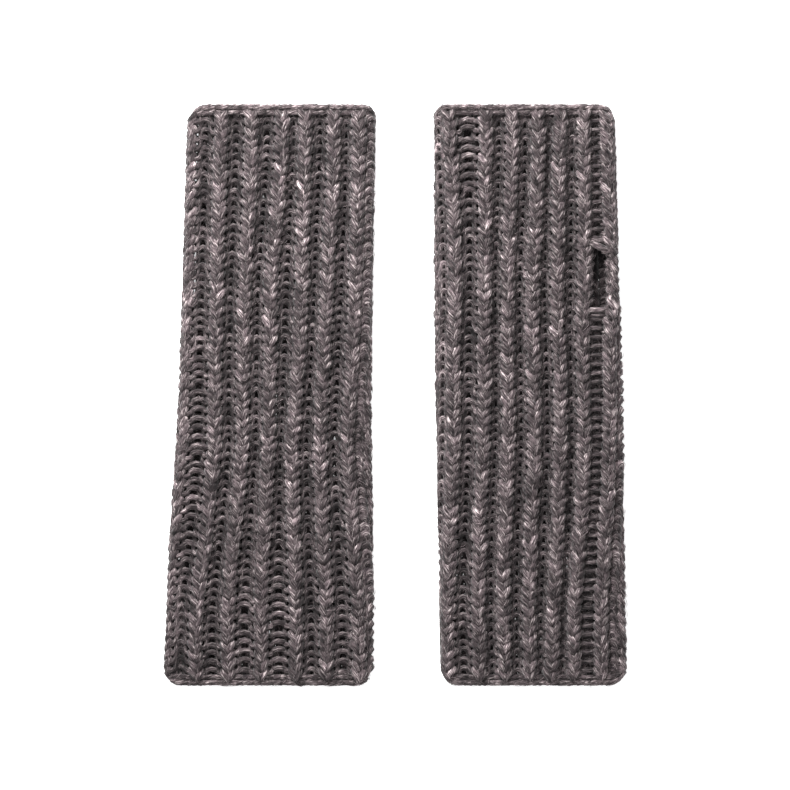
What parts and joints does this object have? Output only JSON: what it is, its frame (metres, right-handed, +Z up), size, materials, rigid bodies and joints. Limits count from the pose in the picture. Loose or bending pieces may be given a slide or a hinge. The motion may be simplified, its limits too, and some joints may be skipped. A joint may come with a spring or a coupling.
{
  "type": "fingerless gloves",
  "caption": "A pair of long fingerless rib-knit gloves: straight tubes for hand and forearm, with a thumb slit in the side seam, laid flat side by side.",
  "frame": {"origin": "on the surface that the gloves lie on, midway between the outer sides of the pair and midway between the finger edges and the arm edges", "axes": "+Y along the gloves to their finger edges, +X from the left glove to the right glove, +Z up through both layers"},
  "size_m": [0.2077, 0.26, 0.016],
  "materials": {
    "rib_knit": "matte, hairy heathered wool in 1x1 rib",
    "edge_yarn": "matte, hairy heathered wool in edge rows",
    "seam_yarn": "matte heathered wool sewing yarn"
  },
  "bodies": {
    "left_forearm_part": {"left_forearm": "rib_knit", "left_seam_forearm": "seam_yarn"},
    "left_hand_part": {"left_hand": "rib_knit", "left_finger_edge": "edge_yarn", "left_thumb_lip_outer": "edge_yarn", "left_thumb_lip_inner": "edge_yarn", "left_thumb_tack_upper": "edge_yarn", "left_thumb_tack_lower": "edge_yarn", "left_seam_finger": "seam_yarn", "left_seam_palm": "seam_yarn", "left_finger_tail": "seam_yarn"},
    "left_cuff_part": {"left_cuff": "rib_knit", "left_arm_edge": "edge_yarn", "left_seam_cuff": "seam_yarn", "left_arm_tail": "seam_yarn"},
    "right_forearm_part": {"right_forearm": "rib_knit", "right_seam_forearm": "seam_yarn"},
    "right_hand_part": {"right_hand": "rib_knit", "right_finger_edge": "edge_yarn", "right_thumb_lip_outer": "edge_yarn", "right_thumb_lip_inner": "edge_yarn", "right_thumb_tack_upper": "edge_yarn", "right_thumb_tack_lower": "edge_yarn", "right_seam_finger": "seam_yarn", "right_seam_palm": "seam_yarn", "right_finger_tail": "seam_yarn"},
    "right_cuff_part": {"right_cuff": "rib_knit", "right_arm_edge": "edge_yarn", "right_seam_cuff": "seam_yarn", "right_arm_tail": "seam_yarn"}
  },
  "joints": [
    {"name": "pair_slide", "type": "slide", "parent": "left_forearm_part", "child": "right_forearm_part", "axis": [1, 0, 0], "range_m": [0, 0.1]},
    {"name": "left_wrist_fold", "type": "hinge", "parent": "left_forearm_part", "child": "left_hand_part", "pos_m": [-0.0538, 0, 0.0163], "axis": [1, 0, 0], "range_deg": [0, 90]},
    {"name": "left_cuff_fold", "type": "hinge", "parent": "left_forearm_part", "child": "left_cuff_part", "pos_m": [-0.0555, -0.07, 0.0163], "axis": [-1, 0, 0], "range_deg": [0, 180]},
    {"name": "right_wrist_fold", "type": "hinge", "parent": "right_forearm_part", "child": "right_hand_part", "pos_m": [0.0598, 0, 0.0163], "axis": [1, 0, 0], "range_deg": [0, 90]},
    {"name": "right_cuff_fold", "type": "hinge", "parent": "right_forearm_part", "child": "right_cuff_part", "pos_m": [0.061, -0.07, 0.0163], "axis": [-1, 0, 0], "range_deg": [0, 180]}
  ]
}
